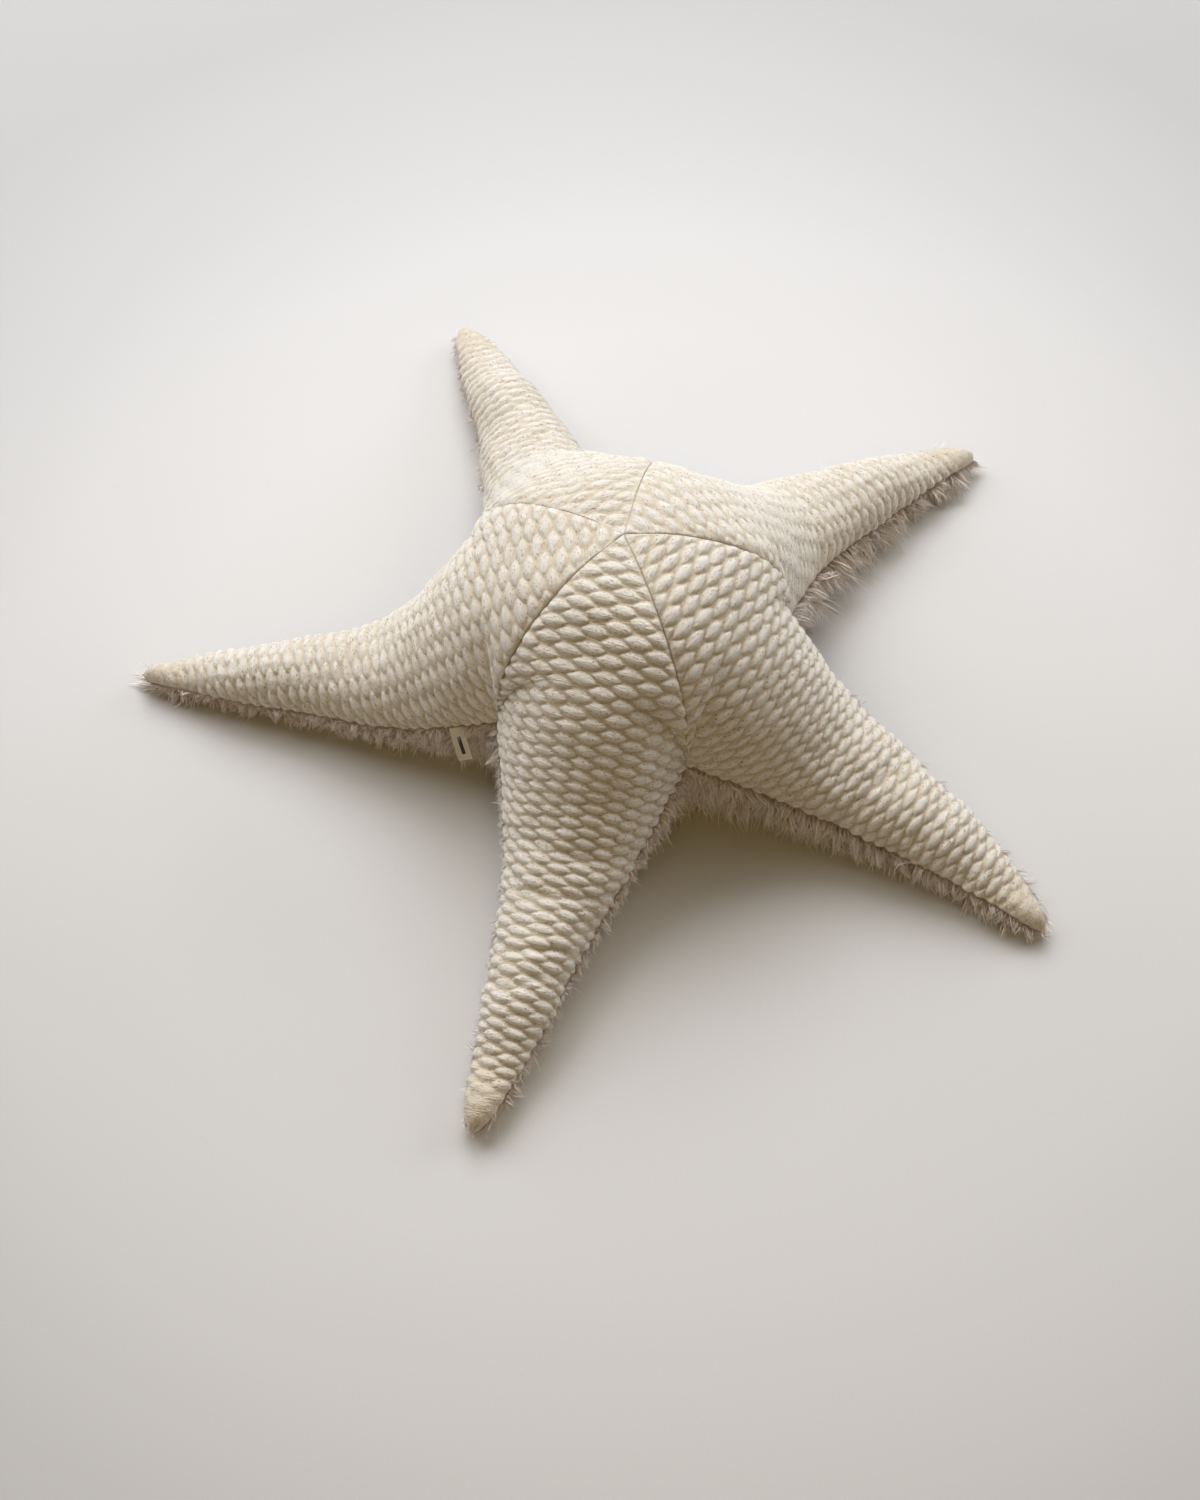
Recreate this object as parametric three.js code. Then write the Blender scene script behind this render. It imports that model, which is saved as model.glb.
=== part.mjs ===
// A stuffed starfish floor cushion, lying flat on its furry underside.
//
// Five kite-shaped quilted cotton panels meet at the crown, and thin seams run from the crown down
// to the five corners between the arms. A side seam joins them to one star of long-pile fur, which
// is the underside and the lower part of the sides. Fibre filling holds the shape, and a small
// folded label is caught in the side seam of the left arm.
//
// Every surface is swept along an arm, from the crown axis to the tip. "Station" 0 to 1 covers the
// crown, up to the corner between two arms, and 1 to 2 covers the free arm. Millimetres, +Z up,
// origin on the floor under the crown.

import * as THREE from "three";
import { mergeVertices } from "three/addons/utils/BufferGeometryUtils.js";

// The star.
const ARM_REACH = 400;
const VALLEY_RADIUS = 130;
const CROWN_HEIGHT = 237;
const VALLEY_SEAM_HEIGHT = 98;
const FIRST_HEADING = 113.3;
const HALF_SECTOR = Math.PI / 5;
const VALLEY_ALONG = VALLEY_RADIUS * Math.cos(HALF_SECTOR);
const VALLEY_ACROSS = VALLEY_RADIUS * Math.sin(HALF_SECTOR);

// How each arm lies: swing in degrees, stretch of its reach, sideways bow, girth, and how far the
// corner clockwise of it stands out.
const ARMS = [
  { name: "top", swing: -2, stretch: 16, bow: -4, girth: 1.1, corner: -4 },
  { name: "right", swing: -3.5, stretch: 7, bow: 17, girth: 1.08, corner: 4 },
  { name: "lower_right", swing: -1.8, stretch: 2, bow: 18, girth: 1.17, corner: 0 },
  { name: "bottom", swing: -2.6, stretch: 2, bow: 6, girth: 1.0, corner: -4 },
  { name: "left", swing: -5.7, stretch: 3, bow: 10, girth: 1.0, corner: 6 },
];
// Distance from the axis where an arm has its full swing and girth, and half-spread of a corner.
const FREE_RADIUS = 2.2 * VALLEY_RADIUS;
const CORNER_SPREAD = 20;

// Free arm, as [fraction of the way from corner to tip, size].
const HALF_WIDTHS = [[0, VALLEY_ACROSS], [0.33, 46], [0.66, 26], [0.9, 14], [1, 11]];
const SEAM_HEIGHTS = [[0, VALLEY_SEAM_HEIGHT], [0.33, 50], [0.66, 29], [0.9, 22], [1, 13]];
// Top line of an arm, as [distance from the crown axis, height].
const RIDGE_HEIGHTS = [[0, CROWN_HEIGHT], [53, 227], [105, 191], [202, 90], [300, 59], [370, 32], [400, 31]];
const TIP_ROUNDING = 0.1;

// Cloth and filling.
const CLOTH = 4;
const PRESSED_PILE = 8;
const FILLING_INSET = 7;
const FILLING_FLOOR = 10;
const GAP = 0.3;
const VALLEY_PULL = 1 / Math.sin(HALF_SECTOR);
const CROWN_ROUNDNESS = 0.4;
const CROWN_CREASE = 1.44;
const FLAT_BELLY = 0.55;
const FLAT_SHARE = 0.4;

// The label, a strip folded back on itself. Only the part outside the seam is a solid.
const LABEL_WIDTH = 12;
const LABEL_LENGTH = 30;
const LABEL_THICKNESS = 1.2;
const LABEL_STATION = 1.095;
const LABEL_DROOP = THREE.MathUtils.degToRad(50);
const LABEL_SLANT = THREE.MathUtils.degToRad(20);

// Mesh density.
const CROWN_STEPS = 5;
const ARM_STEPS = 11;
const ACROSS_STEPS = 10;
const ARM_STEP_POWER = 0.85;
// The panels stop just short of the crown axis, where all five meet.
const PANEL_START = 0.02;

const QUILT_COLOR = 0xe6dcc6;
const FUR_COLOR = 0xb8a99c;
const FILLING_COLOR = 0xf4f2ec;
const LABEL_COLOR = 0xf0ead9;

const clamp = THREE.MathUtils.clamp;
const smooth = (from, to, value) => THREE.MathUtils.smoothstep(value, from, to);

// Value at a position on the smooth curve through [position, value] pairs, without overshoot.
function through(pairs, position) {
  const last = pairs.length - 2;
  let i = 0;
  while (i < last && position > pairs[i + 1][0]) {
    i += 1;
  }
  const chord = (j) => (pairs[j + 1][1] - pairs[j][1]) / (pairs[j + 1][0] - pairs[j][0]);
  const slope = (j) => {
    const before = chord(Math.max(j - 1, 0));
    const after = chord(Math.min(j, last));
    return before * after > 0 ? (2 * before * after) / (before + after) : 0;
  };
  const span = pairs[i + 1][0] - pairs[i][0];
  const s = clamp((position - pairs[i][0]) / span, 0, 1);
  const keep = (1 + 2 * s) * (1 - s) ** 2;
  const lift = span * (slope(i) * s * (1 - s) ** 2 - slope(i + 1) * (1 - s) * s ** 2);
  return keep * pairs[i][1] + (1 - keep) * pairs[i + 1][1] + lift;
}

// The cross-section at a station, of the surface that lies an inset below the outside.
function section(station, inset) {
  const valleyAlong = (VALLEY_RADIUS - inset * VALLEY_PULL) * Math.cos(HALF_SECTOR);
  const arm = clamp(station - 1, 0, 1);
  const crown = Math.min(station, 1);
  const nominalAlong = crown * VALLEY_ALONG + arm * (ARM_REACH - VALLEY_ALONG);
  const along = crown * valleyAlong + arm * (ARM_REACH - inset - valleyAlong);
  const ridge = through(RIDGE_HEIGHTS, nominalAlong) - inset;
  if (station < 1) {
    const drop = (1 - crown ** 2) ** CROWN_ROUNDNESS;
    const pinch = clamp((crown - FLAT_BELLY) / (1 - FLAT_BELLY), 0, 1);
    return {
      along,
      half: along * Math.tan(HALF_SECTOR),
      ridge,
      seam: VALLEY_SEAM_HEIGHT + (CROWN_HEIGHT - inset - VALLEY_SEAM_HEIGHT) * drop,
      rise: 1 - Math.sqrt(1 - pinch ** 2),
      lowSeam: VALLEY_SEAM_HEIGHT,
      power: CROWN_CREASE + (1 - CROWN_CREASE) * crown ** 2,
      floorLift: 0,
    };
  }
  const rounding = clamp((arm - 1 + TIP_ROUNDING) / TIP_ROUNDING, 0, 1);
  const cap = Math.sqrt(1 - rounding ** 2);
  const seam = through(SEAM_HEIGHTS, arm);
  return {
    along,
    half: (through(HALF_WIDTHS, arm) - inset) * cap,
    ridge: seam + (ridge - seam) * cap,
    seam,
    rise: 1,
    lowSeam: seam,
    power: 1,
    floorLift: 1 - cap,
  };
}

// How far the corners push a point outward, as a share of its distance from the axis.
function cornerPush(radius, bearing) {
  const reach = smooth(0.25 * VALLEY_RADIUS, 0.9 * VALLEY_RADIUS, radius);
  const fade = 1 - smooth(1.15 * VALLEY_RADIUS, 2 * VALLEY_RADIUS, radius);
  const push = ARMS.reduce((sum, arm, k) => {
    const away = THREE.MathUtils.euclideanModulo(bearing - FIRST_HEADING + 72 * k + 36 + 180, 360) - 180;
    return sum + arm.corner * Math.exp(-((away / CORNER_SPREAD) ** 2));
  }, 0);
  return (push * reach * fade) / Math.max(radius, 1);
}

// Lays a point of the regular star where its arm really lies, and turns it to its heading.
function lay(armIndex, along, across, height) {
  const arm = ARMS[armIndex];
  const radius = Math.hypot(along, across);
  const free = smooth(VALLEY_RADIUS, FREE_RADIUS, radius);
  const out = clamp((radius - VALLEY_RADIUS) / (ARM_REACH - VALLEY_RADIUS), 0, 1);
  const x = along * (1 + (arm.stretch / ARM_REACH) * smooth(VALLEY_RADIUS, ARM_REACH, radius));
  const y = across * (1 + (arm.girth - 1) * free) + arm.bow * Math.sin(Math.PI * out);
  const heading = THREE.MathUtils.degToRad(FIRST_HEADING - 72 * armIndex + arm.swing * free);
  const bearing = THREE.MathUtils.radToDeg(heading + Math.atan2(y, x));
  const scale = 1 + cornerPush(Math.hypot(x, y), bearing);
  return new THREE.Vector3(
    scale * (x * Math.cos(heading) - y * Math.sin(heading)),
    scale * (x * Math.sin(heading) + y * Math.cos(heading)),
    height,
  );
}

// A point of the upper surface. Side runs from -1 to 1 across the arm.
function upperPoint(armIndex, station, side, inset, gap = 0) {
  const cut = section(station, inset);
  const angle = (side * Math.PI) / 2;
  const across = Math.max(cut.half - gap, 0) * Math.sin(angle);
  const height = cut.seam + (cut.ridge - cut.seam) * Math.max(Math.cos(angle), 0) ** cut.power;
  return lay(armIndex, cut.along, across, height);
}

// A point of the lower surface, flat where it rests and rounded up to the side seam.
function lowerPoint(armIndex, station, side, inset, floor, drop = 0) {
  const cut = section(station, inset);
  const share = Math.abs(side);
  const turn = (clamp((share - FLAT_SHARE) / (1 - FLAT_SHARE), 0, 1) * Math.PI) / 2;
  const flat = FLAT_BELLY * Math.min(share / FLAT_SHARE, 1);
  const across = cut.half * Math.sign(side) * (flat + (1 - FLAT_BELLY) * Math.sin(turn));
  const base = floor + (cut.lowSeam - drop - floor) * cut.floorLift;
  const edge = floor + (cut.lowSeam - drop - floor) * cut.rise;
  return lay(armIndex, cut.along, across, base + (edge - base) * (1 - Math.cos(turn)));
}

function stations(first) {
  const crown = Array.from({ length: CROWN_STEPS }, (_, i) => first + ((1 - first) * i) / CROWN_STEPS);
  const arm = Array.from({ length: ARM_STEPS + 1 }, (_, i) => 1 + (i / ARM_STEPS) ** ARM_STEP_POWER);
  return [...crown, ...arm];
}

const sides = Array.from({ length: ACROSS_STEPS + 1 }, (_, j) => (2 * j) / ACROSS_STEPS - 1);

// Triangle soup of a grid of points, facing up unless flipped.
function addGrid(soup, rows, flipped) {
  for (let i = 0; i + 1 < rows.length; i += 1) {
    for (let j = 0; j + 1 < rows[i].length; j += 1) {
      const [a, b, c, d] = [rows[i][j], rows[i + 1][j], rows[i + 1][j + 1], rows[i][j + 1]];
      soup.push(...(flipped ? [a, c, b, a, d, c] : [a, b, c, a, c, d]));
    }
  }
}

// One closed body from a soup: equal corners are joined and empty triangles dropped.
function weld(soup) {
  const geometry = new THREE.BufferGeometry().setFromPoints(soup);
  const joined = mergeVertices(geometry, 1e-3);
  const kept = [];
  for (let i = 0; i < joined.index.count; i += 3) {
    const [a, b, c] = [0, 1, 2].map((corner) => joined.index.getX(i + corner));
    if (a !== b && b !== c && c !== a) {
      kept.push(a, b, c);
    }
  }
  joined.setIndex(kept);
  joined.computeVertexNormals();
  return joined;
}

function named(name, geometry, color, roughness) {
  const mesh = new THREE.Mesh(geometry, new THREE.MeshStandardMaterial({ color, roughness, metalness: 0 }));
  mesh.name = name;
  return mesh;
}

// A quilted panel: its outside, its inside and the cut edge between them.
function armPanel(armIndex) {
  const along = stations(PANEL_START);
  const outside = along.map((s) => sides.map((v) => upperPoint(armIndex, s, v, 0, GAP)));
  const inside = along.map((s) => sides.map((v) => upperPoint(armIndex, s, v, CLOTH, GAP)));
  const last = sides.length - 1;
  const soup = [];
  addGrid(soup, outside, false);
  addGrid(soup, inside, true);
  addGrid(soup, [outside[0], inside[0]], true);
  addGrid(soup, [outside.map((row) => row[0]), inside.map((row) => row[0])], false);
  addGrid(soup, [outside.map((row) => row[last]), inside.map((row) => row[last])], true);
  return named(`arm_panel_${ARMS[armIndex].name}`, weld(soup), QUILT_COLOR, 0.95);
}

// The fur star: its outside, the pressed pile's inner face and the rim under the side seam.
function furUnderside() {
  const along = stations(0);
  const soup = [];
  ARMS.forEach((_, k) => {
    const outside = along.map((s) => sides.map((v) => lowerPoint(k, s, v, 0, 0, GAP)));
    const inside = along.map((s) => sides.map((v) => lowerPoint(k, s, v, CLOTH, PRESSED_PILE, GAP)));
    const last = sides.length - 1;
    addGrid(soup, outside, true);
    addGrid(soup, inside, false);
    const free = (rows, j) => rows.slice(CROWN_STEPS).map((row) => row[j]);
    addGrid(soup, [free(outside, 0), free(inside, 0)], true);
    addGrid(soup, [free(outside, last), free(inside, last)], false);
  });
  return named("fur_underside", weld(soup), FUR_COLOR, 1.0);
}

function stuffing() {
  const along = stations(0);
  const soup = [];
  ARMS.forEach((_, k) => {
    const above = along.map((s) => sides.map((v) => upperPoint(k, s, v, FILLING_INSET)));
    const below = along.map((s) => sides.map((v) => lowerPoint(k, s, v, FILLING_INSET, FILLING_FLOOR)));
    addGrid(soup, above, false);
    addGrid(soup, below, true);
  });
  return named("stuffing", weld(soup), FILLING_COLOR, 1.0);
}

// The label hangs outward and down from the side seam, slanting towards the crown.
function label() {
  const left = ARMS.findIndex((arm) => arm.name === "left");
  const root = lowerPoint(left, LABEL_STATION, 1, 0, 0);
  const tipward = lowerPoint(left, LABEL_STATION + 0.02, 1, 0, 0);
  const run = tipward.sub(root).setZ(0).normalize();
  const out = new THREE.Vector3(-run.y, run.x, 0);
  const strip = new THREE.Shape();
  strip.moveTo(-LABEL_WIDTH / 2, 0);
  strip.lineTo(LABEL_WIDTH / 2, 0);
  strip.lineTo(LABEL_WIDTH / 2, LABEL_LENGTH);
  strip.lineTo(-LABEL_WIDTH / 2, LABEL_LENGTH);
  strip.closePath();
  const geometry = new THREE.ExtrudeGeometry(strip, { depth: LABEL_THICKNESS, bevelEnabled: false });
  const hang = out.clone().multiplyScalar(Math.cos(LABEL_DROOP));
  hang.z = -Math.sin(LABEL_DROOP);
  const face = run.clone().cross(hang);
  geometry.rotateZ(LABEL_SLANT);
  geometry.applyMatrix4(new THREE.Matrix4().makeBasis(run, hang, face));
  const mesh = named("label", geometry, LABEL_COLOR, 0.8);
  mesh.position.copy(root).addScaledVector(out, 2 * LABEL_THICKNESS);
  return mesh;
}

const cushion = new THREE.Group();
ARMS.forEach((_, k) => cushion.add(armPanel(k)));
cushion.add(furUnderside(), stuffing(), label());

export default cushion;
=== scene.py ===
"""A stuffed starfish floor cushion: puffy quilted cotton on top, long-pile fur underneath.

Every surface is swept along an arm in the way that the CAD solids are. A "station" from 0 to 1
covers the crown, up to the corner between two arms, and 1 to 2 covers the free arm. A "side" from
-1 to 1 runs across it. Shapes are worked out in millimetres and turned into metres in each mesh.
"""

import math

import bpy
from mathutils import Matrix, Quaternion, Vector
import numpy as np


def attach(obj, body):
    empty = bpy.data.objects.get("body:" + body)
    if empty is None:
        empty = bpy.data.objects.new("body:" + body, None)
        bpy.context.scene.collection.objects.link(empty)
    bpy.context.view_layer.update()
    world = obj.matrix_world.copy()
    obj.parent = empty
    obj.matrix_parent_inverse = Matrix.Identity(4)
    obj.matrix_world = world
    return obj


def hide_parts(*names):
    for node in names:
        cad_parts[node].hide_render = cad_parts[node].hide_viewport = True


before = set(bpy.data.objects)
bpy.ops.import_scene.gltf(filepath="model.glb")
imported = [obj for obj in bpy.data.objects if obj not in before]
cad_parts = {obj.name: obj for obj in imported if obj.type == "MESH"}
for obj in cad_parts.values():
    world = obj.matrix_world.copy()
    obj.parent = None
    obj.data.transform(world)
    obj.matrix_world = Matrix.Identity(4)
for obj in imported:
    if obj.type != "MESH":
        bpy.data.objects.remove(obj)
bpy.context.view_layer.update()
MM = 0.001

# The star, as in the CAD model.
ARM_REACH = 400.0
VALLEY_RADIUS = 130.0
CROWN_HEIGHT = 237.0
VALLEY_SEAM_HEIGHT = 98.0
FIRST_HEADING = 113.3
HALF_SECTOR = math.pi / 5
VALLEY_ALONG = VALLEY_RADIUS * math.cos(HALF_SECTOR)
VALLEY_ACROSS = VALLEY_RADIUS * math.sin(HALF_SECTOR)
# What differs from arm to arm: its swing in degrees, how much longer it is, its sideways bow, its
# girth, how far the corner after it is pushed out, how much fuller its end is, how far its puffs
# lean, shares that lengthen or shorten its pile and the tuft at its tip, and its cross folds as
# (distance along the cloth, depth). Lengths are in mm.
ARMS = [
    {
        "name": "top", "swing": -2.0, "stretch": 16, "bow": -4, "girth": 1.10, "corner": -4,
        "full": 0.2, "lean": 0, "pile": 0.6, "tuft": 0.6,
        "folds": [(222, 1.7), (250, 1.6), (281, 1.5), (330, 1.2)],
    },
    {
        "name": "right", "swing": -3.5, "stretch": 7, "bow": 17, "girth": 1.08, "corner": 4,
        "full": 0, "lean": 0, "pile": 1.7, "tuft": 0.5,
        "folds": [(262, 1.2), (318, 1.3)],
    },
    {
        "name": "lower_right", "swing": -1.8, "stretch": 2, "bow": 18, "girth": 1.17, "corner": 0,
        "full": 0, "lean": 0, "pile": 1.2, "tuft": 0.8,
        "folds": [(300, 1.4), (347, 1.8), (392, 1.3)],
    },
    {
        "name": "bottom", "swing": -2.6, "stretch": 2, "bow": 6, "girth": 1.00, "corner": -4,
        "full": 0.12, "lean": 0.8, "pile": 0.5, "tuft": 0.4,
        "folds": [(252, 1.6), (281, 2.4), (326, 2.6), (352, 1.6)],
    },
    {
        "name": "left", "swing": -5.7, "stretch": 3, "bow": 10, "girth": 1.00, "corner": 6,
        "full": 0, "lean": 0, "pile": 0.55, "tuft": 1.0,
        "folds": [(214, 1.2), (255, 2.2), (330, 1.2)],
    },
]
FREE_RADIUS = 2.2 * VALLEY_RADIUS
CORNER_SPREAD = 20
HALF_WIDTHS = [(0, VALLEY_ACROSS), (0.33, 46), (0.66, 26), (0.9, 14), (1, 11)]
SEAM_HEIGHTS = [(0, VALLEY_SEAM_HEIGHT), (0.33, 50), (0.66, 29), (0.9, 22), (1, 13)]
RIDGE_HEIGHTS = [(0, CROWN_HEIGHT), (53, 227), (105, 191), (202, 90), (300, 59), (370, 32), (400, 31)]
TIP_ROUNDING = 0.1
TIP_TAPER = 0.1
CROWN_ROUNDNESS = 0.4
CROWN_CREASE = 1.44
FLAT_BELLY = 0.55
FLAT_SHARE = 0.4
UNDERCUT = 0.7

# The quilted cloth.
CLOTH = 4.0
SEAM_GAP = 0.03
PUFF_ACROSS = 16.2
PUFF_ALONG_CROWN = 12.4
PUFF_ALONG_ARM = 10.0
PUFF_LENGTH = 21.5
PUFF_BREADTH = 10.4
PUFF_HEIGHT = 2.4
FOLD_BREADTH = 4.0
FOLD_DEPTH = 0.9
LUMP_HEIGHT = 1.2
STITCH_DEPTH = 0.5
STITCH_BREADTH = 1.1
SEAM_SINK = 0.8
SEAM_REACH = 7.0
DEEPEST = 3.0
OUTSIDE_SPACING = 1.2
INSIDE_SPACING = 10.0

# How the cloth settles over its filling: it is cut longer than the arms, and pressed out from
# inside. The skin is a coarse grid of these stations and sides on each arm.
SPARE_CLOTH = 0.12
CLOTH_SETTINGS = {
    "pin_stiffness": 2.0,
    "use_pressure": True,
    "uniform_pressure_force": 4.0,
    "quality": 6,
    "mass": 0.01,
    "tension_stiffness": 5,
    "compression_stiffness": 5,
    "shear_stiffness": 10,
    "bending_stiffness": 0.05,
    "air_damping": 3,
}
SETTLE_FRAMES = 30
SETTLE_GAIN = 1.6
SETTLE_LIMIT = 3.0
FIRST_LUMPS = 0.6
SKIN_CROWN = np.sin(np.linspace(0, 1, 16) * math.pi / 2)
SKIN_STATIONS = np.concatenate([SKIN_CROWN, 1 + np.linspace(0, 1, 46)[1:]])
SKIN_SIDES = np.linspace(-1, 1, 25)

# The label.
LABEL_STATION = 1.11
LABEL_WIDTH = 12.0
LABEL_LENGTH = 29.0
LABEL_CLOTH = 0.22
LABEL_DROOP = math.radians(50)
LABEL_SLANT = math.radians(20)

# The filling and the fur. Each surface is an inset from the outside, a height above the floor and,
# for the fur, a drop below the side seam.
FILLING_INSET = 8.0
FILLING_FLOOR = 11.0
BACKING_OUTSIDE = (1.4, 4.0, 0.1)
BACKING_INSIDE = (4.0, 7.5, 0.1)
HAIR_ROOTS = (1.0, 3.5, 0.1)
PILE_LENGTH = 18.0
HALF_HAIR = 0.5
HAIRS_PER_ARM = 16000
WISP_SHARE = 0.12
TUFT_SIZE = 7.0
GATHER = 1.28
PRESSED_LOW = 0.9
PRESSED_DEPTH = 2.4


# ---- the shape of the star


def through(pairs, position):
    """Value on the smooth curve through (position, value) pairs, without overshoot."""
    at, value = np.array(pairs, float).T
    chord = np.diff(value) / np.diff(at)
    before = np.concatenate([chord[:1], chord])
    after = np.concatenate([chord, chord[-1:]])
    same_way = before * after > 0
    slope = np.where(same_way, 2 * before * after / np.where(same_way, before + after, 1), 0)
    i = np.clip(np.searchsorted(at, position, side="left") - 1, 0, len(at) - 2)
    span = at[i + 1] - at[i]
    s = np.clip((position - at[i]) / span, 0, 1)
    keep = (1 + 2 * s) * (1 - s) ** 2
    lift = span * (slope[i] * s * (1 - s) ** 2 - slope[i + 1] * (1 - s) * s**2)
    return keep * value[i] + (1 - keep) * value[i + 1] + lift


def smooth(start, end, value):
    s = np.clip((value - start) / (end - start), 0, 1)
    return s * s * (3 - 2 * s)


def section(station, inset=0.0):
    """The arm's cross-section at stations, for the surface that lies an inset below the outside."""
    valley_along = (VALLEY_RADIUS - inset / math.sin(HALF_SECTOR)) * math.cos(HALF_SECTOR)
    arm = np.clip(station - 1, 0, 1)
    crown = np.minimum(station, 1)
    nominal_along = crown * VALLEY_ALONG + arm * (ARM_REACH - VALLEY_ALONG)
    along = crown * valley_along + arm * (ARM_REACH - inset - valley_along)
    ridge = through(RIDGE_HEIGHTS, nominal_along) - inset
    seam = through(SEAM_HEIGHTS, arm)
    cap = np.sqrt(1 - np.clip((arm - 1 + TIP_ROUNDING) / TIP_ROUNDING, 0, 1) ** 2)
    taper = 1 - TIP_TAPER * smooth(0.8, 1, arm)
    on_crown = station < 1
    bulge = (1 - crown**2) ** CROWN_ROUNDNESS
    crown_seam = VALLEY_SEAM_HEIGHT + (CROWN_HEIGHT - inset - VALLEY_SEAM_HEIGHT) * bulge
    free_half = (through(HALF_WIDTHS, arm) * taper - inset) * cap
    pinch = np.clip((crown - FLAT_BELLY) / (1 - FLAT_BELLY), 0, 1)
    return {
        "along": along,
        "half": np.where(on_crown, along * math.tan(HALF_SECTOR), free_half),
        "ridge": np.where(on_crown, ridge, seam + (ridge - seam) * cap),
        "seam": np.where(on_crown, crown_seam, seam),
        "low_seam": seam,
        "rise": np.where(on_crown, 1 - np.sqrt(1 - pinch**2), 1),
        "power": np.where(on_crown, CROWN_CREASE + (1 - CROWN_CREASE) * crown**2, 1),
        "floor_lift": 1 - cap,
    }


def corner_push(radius, bearing):
    """How far the corners push points outward, as a share of their distance from the axis."""
    reach = smooth(0.25 * VALLEY_RADIUS, 0.9 * VALLEY_RADIUS, radius)
    fade = 1 - smooth(1.15 * VALLEY_RADIUS, 2 * VALLEY_RADIUS, radius)
    push = 0
    for k, arm in enumerate(ARMS):
        away = (bearing - FIRST_HEADING + 72 * k + 36 + 180) % 360 - 180
        push = push + arm["corner"] * np.exp(-((away / CORNER_SPREAD) ** 2))
    return push * reach * fade / np.maximum(radius, 1)


def lay(arm_index, along, across, height):
    """Lays points of the regular star where their arm really lies."""
    arm = ARMS[arm_index]
    radius = np.hypot(along, across)
    free = smooth(VALLEY_RADIUS, FREE_RADIUS, radius)
    out = np.clip((radius - VALLEY_RADIUS) / (ARM_REACH - VALLEY_RADIUS), 0, 1)
    x = along * (1 + arm["stretch"] / ARM_REACH * smooth(VALLEY_RADIUS, ARM_REACH, radius))
    full = arm["full"] * smooth(0.5, 0.85, out)
    y = across * (1 + (arm["girth"] - 1) * free + full) + arm["bow"] * np.sin(math.pi * out)
    heading = np.radians(FIRST_HEADING - 72 * arm_index + arm["swing"] * free)
    scale = 1 + corner_push(np.hypot(x, y), np.degrees(heading + np.arctan2(y, x)))
    turned_x = scale * (x * np.cos(heading) - y * np.sin(heading))
    turned_y = scale * (x * np.sin(heading) + y * np.cos(heading))
    return np.stack([turned_x, turned_y, height + 0 * x], -1)


def upper_point(arm_index, station, side, inset=0.0, gap=0.0):
    """Points of the quilted surface before its puffs."""
    cut = section(station, inset)
    angle = side * math.pi / 2
    across = np.maximum(cut["half"] - gap, 0) * np.sin(angle)
    swell = np.maximum(np.cos(angle), 0) ** cut["power"]
    return lay(arm_index, cut["along"], across, cut["seam"] + (cut["ridge"] - cut["seam"]) * swell)


def lower_point(arm_index, station, side, inset=0.0, floor=0.0, drop=0.0):
    """Points of the underside: flat where it rests, rounded up to the side seam."""
    cut = section(station, inset)
    share = np.abs(side)
    turn = np.clip((share - FLAT_SHARE) / (1 - FLAT_SHARE), 0, 1) * math.pi / 2
    flat = FLAT_BELLY * np.minimum(share / FLAT_SHARE, 1)
    tuck = 1 + UNDERCUT * smooth(1, 1.2, station)
    across = cut["half"] * np.sign(side) * (flat + (1 - FLAT_BELLY) * np.sin(turn) ** tuck)
    reach = cut["low_seam"] - drop - floor
    base = floor + reach * cut["floor_lift"]
    edge = floor + reach * cut["rise"]
    return lay(arm_index, cut["along"], across, base + (edge - base) * (1 - np.cos(turn)))


# ---- helpers for meshes


def unit(vectors):
    return vectors / np.maximum(np.linalg.norm(vectors, axis=-1, keepdims=True), 1e-9)


def soft_noise(x, y, seed):
    """A smooth random field from -1 to 1, with about one bump to a unit."""
    lattice = np.random.default_rng(seed).uniform(-1, 1, (64, 64))
    xi, yi = np.floor(x).astype(int), np.floor(y).astype(int)
    fx, fy = smooth(0, 1, x - xi), smooth(0, 1, y - yi)

    def corner(i, j):
        return lattice[(xi + i) % 64, (yi + j) % 64]

    low = corner(0, 0) * (1 - fx) + corner(1, 0) * fx
    high = corner(0, 1) * (1 - fx) + corner(1, 1) * fx
    return low * (1 - fy) + high * fy


def zip_rows(first, second):
    """Triangles between two rows of vertex numbers that may differ in count."""
    n, m = len(first) - 1, len(second) - 1
    if n + m == 0:
        return np.empty((0, 3), int)
    key_first = (np.arange(n) + 0.5) / max(n, 1)
    key_second = (np.arange(m) + 0.5) / max(m, 1)
    met_second = np.searchsorted(key_second, key_first)
    met_first = np.searchsorted(key_first, key_second, side="right")
    i, j = np.arange(n), np.arange(m)
    from_first = np.stack([first[i], second[met_second], first[i + 1]], -1)
    from_second = np.stack([first[met_first], second[j], second[j + 1]], -1)
    return np.concatenate([from_first, from_second])


def grid_triangles(numbers, flipped=False):
    """Triangles of a grid of vertex numbers, facing up unless flipped."""
    a, b, c, d = numbers[:-1, :-1], numbers[1:, :-1], numbers[1:, 1:], numbers[:-1, 1:]
    halves = np.stack([a, b, c], -1), np.stack([a, c, d], -1)
    made = np.concatenate([half.reshape(-1, 3) for half in halves])
    return made[:, ::-1] if flipped else made


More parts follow.
